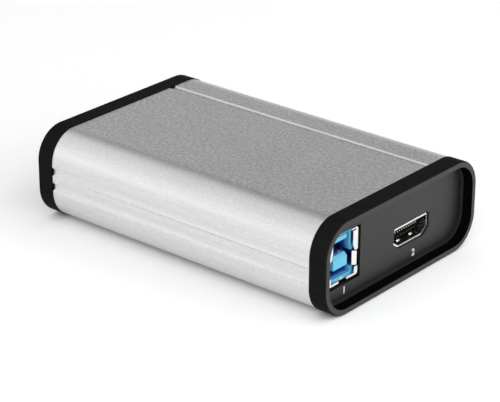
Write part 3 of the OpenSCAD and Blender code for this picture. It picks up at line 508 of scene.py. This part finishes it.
def bent_strip_row():
    """Geometry Nodes tree: a flat strip along the mesh's path, bent at its corners and repeated across Y."""
    tree = bpy.data.node_groups.new("bent_strip_row", "GeometryNodeTree")
    face = tree.interface
    face.new_socket("Geometry", in_out="INPUT", socket_type="NodeSocketGeometry")
    face.new_socket("Count", in_out="INPUT", socket_type="NodeSocketInt")
    for name in ("Pitch", "Width", "Thickness", "Bend"):
        face.new_socket(name, in_out="INPUT", socket_type="NodeSocketFloat")
    face.new_socket("Metal", in_out="INPUT", socket_type="NodeSocketMaterial")
    face.new_socket("Geometry", in_out="OUTPUT", socket_type="NodeSocketGeometry")
    nodes, links = tree.nodes, tree.links
    given, result = nodes.new("NodeGroupInput"), nodes.new("NodeGroupOutput")
    path, bend = nodes.new("GeometryNodeMeshToCurve"), nodes.new("GeometryNodeFilletCurve")
    section = nodes.new("GeometryNodeCurvePrimitiveQuadrilateral")
    strip = nodes.new("GeometryNodeCurveToMesh")
    links.new(given.outputs["Geometry"], path.inputs["Mesh"])
    links.new(path.outputs["Curve"], bend.inputs["Curve"])
    bend.mode = "POLY"
    bend.inputs["Count"].default_value = 5
    bend.inputs["Limit Radius"].default_value = True
    links.new(given.outputs["Bend"], bend.inputs["Radius"])
    links.new(given.outputs["Thickness"], section.inputs["Width"])
    links.new(given.outputs["Width"], section.inputs["Height"])
    links.new(bend.outputs["Curve"], strip.inputs["Curve"])
    links.new(section.outputs["Curve"], strip.inputs["Profile Curve"])
    strip.inputs["Fill Caps"].default_value = True
    row, step, start = (nodes.new(kind) for kind in
                        ("GeometryNodeMeshLine", "ShaderNodeCombineXYZ", "ShaderNodeCombineXYZ"))
    links.new(given.outputs["Count"], row.inputs["Count"])
    links.new(given.outputs["Pitch"], step.inputs["Y"])
    links.new(step.outputs[0], row.inputs["Offset"])
    gaps = worked_out(tree, "SUBTRACT", given.outputs["Count"], 1)
    span = worked_out(tree, "MULTIPLY", gaps, given.outputs["Pitch"])
    links.new(worked_out(tree, "MULTIPLY", span, -0.5), start.inputs["Y"])
    links.new(start.outputs[0], row.inputs["Start Location"])
    copies, real = nodes.new("GeometryNodeInstanceOnPoints"), nodes.new("GeometryNodeRealizeInstances")
    painted = nodes.new("GeometryNodeSetMaterial")
    links.new(row.outputs["Mesh"], copies.inputs["Points"])
    links.new(strip.outputs["Mesh"], copies.inputs["Instance"])
    links.new(copies.outputs["Instances"], real.inputs["Geometry"])
    links.new(real.outputs["Geometry"], painted.inputs["Geometry"])
    links.new(given.outputs["Metal"], painted.inputs["Material"])
    links.new(painted.outputs["Geometry"], result.inputs["Geometry"])
    return tree


strip_rows = bent_strip_row()
gold = finish("gold_plating", ((0.9, 0.76, 0.52), (0.96, 0.85, 0.64)), (0.3, 0.42), 0.2 * MM, Metallic=1.0)
strip_t, strip_bend = 0.2 * MM, 0.3 * MM
fine_w, broad_w = 0.4 * MM, 0.8 * MM
mid_t, tip_slope = strip_t / 2, 0.14 * MM
board_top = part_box("circuit_board")[1].z


def contact_row(corners, count, pitch, width, outer):
    """One row of contacts along a path of corners, each given as (x, z) from the mouth and the board.
    outer is the side, up or down, on which the tip is sloped."""
    path = [(x, 0, z) for x, z in corners]
    row = grown("contact_row", path, [(i, i + 1) for i in range(len(path) - 1)], strip_rows, Count=count,
                Pitch=pitch, Width=width, Thickness=strip_t, Bend=strip_bend, Metal=gold)
    tip_x, tip_z = corners[0]
    for corner in row.vertices:
        if corner.co.x > tip_x - mid_t and (corner.co.z - tip_z) * outer > 0:
            corner.co.x -= tip_slope
    return row


def contact_set(name, rows, turn, x, y, node):
    """The rows, drawn with the socket's mouth at x = 0 facing +X, placed at the real mouth."""
    piece = joined(name, rows)
    piece.data.transform(Matrix.Translation((x, y, board_top)) @ Matrix.Rotation(turn, 4, "Z"))
    stands_for(piece, node)


mouth_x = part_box("data_socket_shell")[1].x
data_low, data_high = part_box("data_socket_contacts")
data_y = (data_low.y + data_high.y) / 2
data_pin_z = data_low.z - board_top
data_tip = data_high.x - mouth_x
data_fine_z = data_high.z - board_top - mid_t
tongue_low_z, tongue_high_z = 3.45 * MM, 6.85 * MM
broad_count, fine_count = 2, 5
broad_pitch, fine_pitch = 2.5 * MM, 1 * MM
pin_row_xs = (-13.65 * MM - mid_t, -14.9 * MM - mid_t, -16.15 * MM - mid_t)
data_rows = []
for strip_z, pin_x, count, pitch, width, outer in (
        (tongue_low_z - mid_t, pin_row_xs[0], broad_count, broad_pitch, broad_w, -1),
        (tongue_high_z + mid_t, pin_row_xs[1], broad_count, broad_pitch, broad_w, 1),
        (data_fine_z, pin_row_xs[2], fine_count, fine_pitch, fine_w, -1)):
    corners = [(data_tip, strip_z), (pin_x, strip_z), (pin_x, data_pin_z)]
    data_rows.append(contact_row(corners, count, pitch, width, outer))
contact_set("data_contacts", data_rows, 0, mouth_x, data_y, "data_socket_contacts")

video_low, video_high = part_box("video_out_contacts")
tip_setback = 0.1 * MM
video_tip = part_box("video_out_insulator")[1].x - mouth_x - tip_setback
video_tongue_t, video_pitch, video_foot = 1 * MM, 1 * MM, 1 * MM
upper_count, lower_count = 10, 9
upper_z = video_high.z - board_top - mid_t
lower_z = upper_z - video_tongue_t - strip_t
upper_back_x = video_low.x - mouth_x + video_foot
lower_back_x = upper_back_x + strip_t
for end, turn, x in (("out", 0, mouth_x), ("in", math.pi, -mouth_x)):
    video_rows = []
    for strip_z, back_x, count, outer in ((upper_z, upper_back_x, upper_count, 1),
                                          (lower_z, lower_back_x, lower_count, -1)):
        corners = [(video_tip, strip_z), (back_x + mid_t, strip_z), (back_x + mid_t, mid_t),
                   (back_x - video_foot, mid_t)]
        video_rows.append(contact_row(corners, count, video_pitch, fine_w, outer))
    contact_set(f"video_{end}_contact_rows", video_rows, turn, x, video_y[end], f"video_{end}_contacts")

# Data socket: a square nickel-plated steel shell, folded from sheet, round a blue moulded insulator with a
# tongue for the four broad contacts and a thin plate above it for the five fine ones. The moulding is pale at
# the mouth, and its colour is painted darker and deeper blue with depth inside, a painted shade for the port.


def softened(node, name, width, material, segments=2, reform=None):
    """Piece with a CAD node's form, its triangles joined into whole faces and its edges rounded by width.
    reform may change the plain mesh before its edges are rounded."""
    weld, flat, sharp = 0.0005 * MM, math.radians(0.5), math.radians(32)
    bm = bmesh.new()
    bm.from_mesh(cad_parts[node].data)
    bmesh.ops.remove_doubles(bm, verts=bm.verts, dist=weld)
    bmesh.ops.dissolve_limit(bm, angle_limit=flat, verts=bm.verts, edges=bm.edges)
    if reform:
        reform(bm)
    for face in bm.faces:
        face.smooth = True
        face.material_index = 0
    plain = bpy.data.meshes.new(name)
    bm.to_mesh(plain)
    bm.free()
    plain.materials.append(material)
    draft = added(name, plain)
    rounding = draft.modifiers.new("rounding", "BEVEL")
    rounding.width = width
    rounding.segments = segments
    rounding.limit_method = "ANGLE"
    rounding.angle_limit = sharp
    rounding.miter_outer = "MITER_ARC"
    flatness = draft.modifiers.new("flatness", "WEIGHTED_NORMAL")
    flatness.keep_sharp = True
    rounded = mesh_of(draft)
    bpy.data.meshes.remove(plain)
    rounded.name = name
    return added(name, rounded)


nickel = finish("nickel_plating", ((0.86, 0.86, 0.85), (0.93, 0.93, 0.92)), (0.16, 0.28), 0.5 * MM,
                stretch=(6, 1, 1), bump=0.001 * MM, Metallic=1.0)
blue_moulding = finish("blue_moulding", ((0.13, 0.54, 0.78), (0.17, 0.6, 0.83)), (0.35, 0.48), 0.15 * MM,
                       bump=0.003 * MM)
blue_nodes, blue_links = blue_moulding.node_tree.nodes, blue_moulding.node_tree.links
blue_coords, blue_place = blue_nodes.new("ShaderNodeTexCoord"), blue_nodes.new("ShaderNodeSeparateXYZ")
blue_shader = blue_nodes["Principled BSDF"]
blue_links.new(blue_coords.outputs["Object"], blue_place.inputs["Vector"])
# Painted shade: the base colour darkens to deep blue and then to navy with depth behind the mouth.
blue_painted_shade_steps = (((0.01, 0.15, 0.7, 1), 1.5 * MM, 3 * MM), ((0.002, 0.01, 0.16, 1), 2.2 * MM, 4.4 * MM))
for shade_blue, begins, ends in blue_painted_shade_steps:
    depth, painted_shade = blue_nodes.new("ShaderNodeMapRange"), blue_nodes.new("ShaderNodeMix")
    depth.inputs["From Min"].default_value = mouth_x - begins
    depth.inputs["From Max"].default_value = mouth_x - ends
    painted_shade.data_type = "RGBA"
    painted_shade.inputs[7].default_value = shade_blue
    blue_links.new(blue_place.outputs["X"], depth.inputs["Value"])
    blue_links.new(depth.outputs["Result"], painted_shade.inputs[0])
    blue_links.new(blue_shader.inputs["Base Color"].links[0].from_socket, painted_shade.inputs[6])
    blue_links.new(painted_shade.outputs[2], blue_shader.inputs["Base Color"])
data_shell_edge, data_insulator_edge = 0.07 * MM, 0.1 * MM
data_shell = softened("data_socket_shell", "data_shell", data_shell_edge, nickel)
stands_for(data_shell, "data_socket_shell")
data_insulator = softened("data_socket_insulator", "data_insulator", data_insulator_edge, blue_moulding)
stands_for(data_insulator, "data_socket_insulator")

# Video sockets: one at each end, a flat folded shell of the same plated sheet with a turned-out lip and
# spring fingers, closed behind by a black moulded insulator whose tongue carries both rows of contacts.
# Black of the video tongues, also used on the walls inside the end frames' rims as painted recess shade.
black_and_recess_shade = finish("black_and_recess_shade", ((0.002, 0.002, 0.002), (0.004, 0.004, 0.004)), (0.38, 0.5),
                        0.15 * MM, bump=0.003 * MM, Specular_IOR_Level=0.01)
video_shell_edge, video_insulator_edge = 0.06 * MM, 0.07 * MM
for end in ("out", "in"):
    sleeve = softened(f"video_{end}_shell", f"video_{end}_sleeve", video_shell_edge, nickel)
    stands_for(sleeve, f"video_{end}_shell")
    tongue = softened(f"video_{end}_insulator", f"video_{end}_tongue", video_insulator_edge, black_and_recess_shade)
    stands_for(tongue, f"video_{end}_insulator")

# Housing tube: one length of extruded aluminium, cut square, blasted with fine beads and clear anodised.
# Grooves run along both sides and the top, each with one sloped flank, and slots inside hold the board.
tube_low, tube_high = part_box("housing_tube")
side_groove_depth, top_groove_depth = 0.5 * MM, 0.35 * MM
side_flank, top_flank = 0.9 * MM, 0.45 * MM
square_end = 1 * MM
groove_reach_z = 3.7 * MM
tolerance = 0.05 * MM
facing = 0.9


def groove_floors(bm, axis):
    """The floors of the side grooves, where axis is 1, or of the top groove, where it is 2."""
    level = tube_high.y - side_groove_depth if axis == 1 else tube_high.z - top_groove_depth
    floors = []
    for face in bm.faces:
        centre = face.calc_center_median()
        height = abs(centre.y) if axis == 1 else centre.z
        in_reach = axis == 2 or abs(centre.z - middle.z) < groove_reach_z
        if abs(height - level) < tolerance and abs(face.normal[axis]) > facing and in_reach:
            floors.append(face)
    return floors


def slope_flanks(bm):
    """Slopes the lower flank of each side groove and the far flank of the top one, not at the tube's ends."""
    bm.normal_update()
    for axis, across, way, flank in ((1, 2, 1, side_flank), (2, 1, -1, top_flank)):
        for x in (tube_low.x + square_end, tube_high.x - square_end):
            floors = groove_floors(bm, axis)
            corners = list({v for face in floors for v in face.verts})
            sides = list({e for face in floors for e in face.edges})
            bmesh.ops.bisect_plane(bm, geom=corners + sides + floors, plane_co=(x, 0, 0), plane_no=(1, 0, 0))
        moved = set()
        for face in groove_floors(bm, axis):
            edge_at = min(way * v.co[across] for v in face.verts)
            moved |= {v for v in face.verts if way * v.co[across] < edge_at + tolerance
                      and tube_low.x + tolerance < v.co.x < tube_high.x - tolerance}
        for corner in moved:
            corner.co[across] += way * flank


aluminium = finish("blasted_aluminium", ((0.512, 0.512, 0.509), (0.902, 0.902, 0.898)), (0.36, 0.46),
                   0.66 * MM, bump=0.003 * MM, stretch=(1.05, 1.5, 0.035), patchy=0.1, Metallic=1.0)
tube_edge = 0.16 * MM
tube = softened("housing_tube", "tube_extrusion", tube_edge, aluminium, reform=slope_flanks)
stands_for(tube, "housing_tube")

# End frames: two alike frames moulded in black plastic, matt round the outside and satin on the rim's face.
# Ribbed tongues plug them into the tube, and a flange behind the rim backs the end plate. The walls that face
# in towards the axis get a darker black, a painted shade for the recess.
band_black = finish("matt_band", ((0.0105, 0.0105, 0.0105), (0.0165, 0.0165, 0.0165)), (0.36, 0.44),
                    0.2 * MM, bump=0.002 * MM, Specular_IOR_Level=0.004)
rim_black = finish("satin_rim", ((0.01, 0.01, 0.01), (0.018, 0.018, 0.018)), (0.36, 0.44), 0.18 * MM,
                   bump=0.003 * MM, Specular_IOR_Level=0.44)
frame_edge = 0.15 * MM
tube_axis = Vector((0, 0, middle.z))
for end, side in (("output", 1), ("input", -1)):
    moulding = softened(f"{end}_end_frame", f"{end}_frame_moulding", frame_edge, band_black, segments=3)
    moulding.data.materials.append(rim_black)
    moulding.data.materials.append(black_and_recess_shade)
    for face in moulding.data.polygons:
        from_axis = (face.center - tube_axis) * Vector((0, 1, 1))
        if face.normal.x * side > facing:
            face.material_index = 1
        # Faces that look in towards the axis, the walls inside the rim, take the darker black as painted
        # shade.
        elif face.normal.dot(from_axis) < 0:
            face.material_index = 2
    stands_for(moulding, f"{end}_end_frame")

# End plates: thin black mouldings with cut-outs for the sockets, bonded on the frames' flanges. The face at
# the output end is flush with the data socket's mouth, and plain white numbers are printed on it.
plate_black = finish("satin_plate", ((0.006, 0.006, 0.006), (0.011, 0.011, 0.011)), (0.36, 0.44), 0.18 * MM,
                     bump=0.003 * MM, Specular_IOR_Level=0.45)
plate_edge = 0.1 * MM
for end in ("output", "input"):
    plate = softened(f"{end}_end_plate", f"{end}_plate_moulding", plate_edge, plate_black)
    stands_for(plate, f"{end}_end_plate")

ink = finish("white_ink", ((0.7, 0.7, 0.7), (0.82, 0.82, 0.82)), (0.5, 0.6), 0.1 * MM)
plate_face_x = mouth_x
ink_t, ink_spread = 0.02 * MM, 0.07 * MM
number_h, number_share_of_type = 1.9 * MM, 0.69
stand_up = Matrix(((0, 0, 1, 0), (1, 0, 0, 0), (0, 1, 0, 0), (0, 0, 0, 1)))


def printed(name, number, y, z):
    """Number printed on the output end's plate, centred at y with its foot at z."""
    type_shape = bpy.data.curves.new(name, "FONT")
    type_shape.body = number
    type_shape.align_x = "CENTER"
    type_shape.size = number_h / number_share_of_type
    type_shape.offset = ink_spread
    type_shape.extrude = ink_t / 2
    shape = mesh_of(added(name, type_shape))
    shape.transform(Matrix.Translation((plate_face_x + ink_t / 2, y, z)) @ stand_up)
    shape.materials.append(ink)
    piece = added(name, shape)
    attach(piece, "root")


data_number_aside, video_number_aside = 0.75 * MM, 1.1 * MM
data_number_z, video_number_z = 3.75 * MM, 3.55 * MM
printed("data_number", "1", data_y + data_number_aside, data_number_z)
printed("video_number", "2", video_y["out"] + video_number_aside, video_number_z)

# Status lamp and light pipe: a white lamp soldered to the board shines through a clear acrylic rod,
# which is pushed through the input end's plate from behind up to its collar.
coat("status_lamp", finish("lamp_resin", ((0.74, 0.77, 0.78), (0.82, 0.85, 0.86)), (0.25, 0.35), 0.2 * MM))
coat("light_pipe", finish("clear_acrylic", ((0.86, 0.9, 0.92), (0.92, 0.95, 0.96)), (0.04, 0.1), 0.4 * MM,
                          Transmission_Weight=1.0, IOR=1.49))
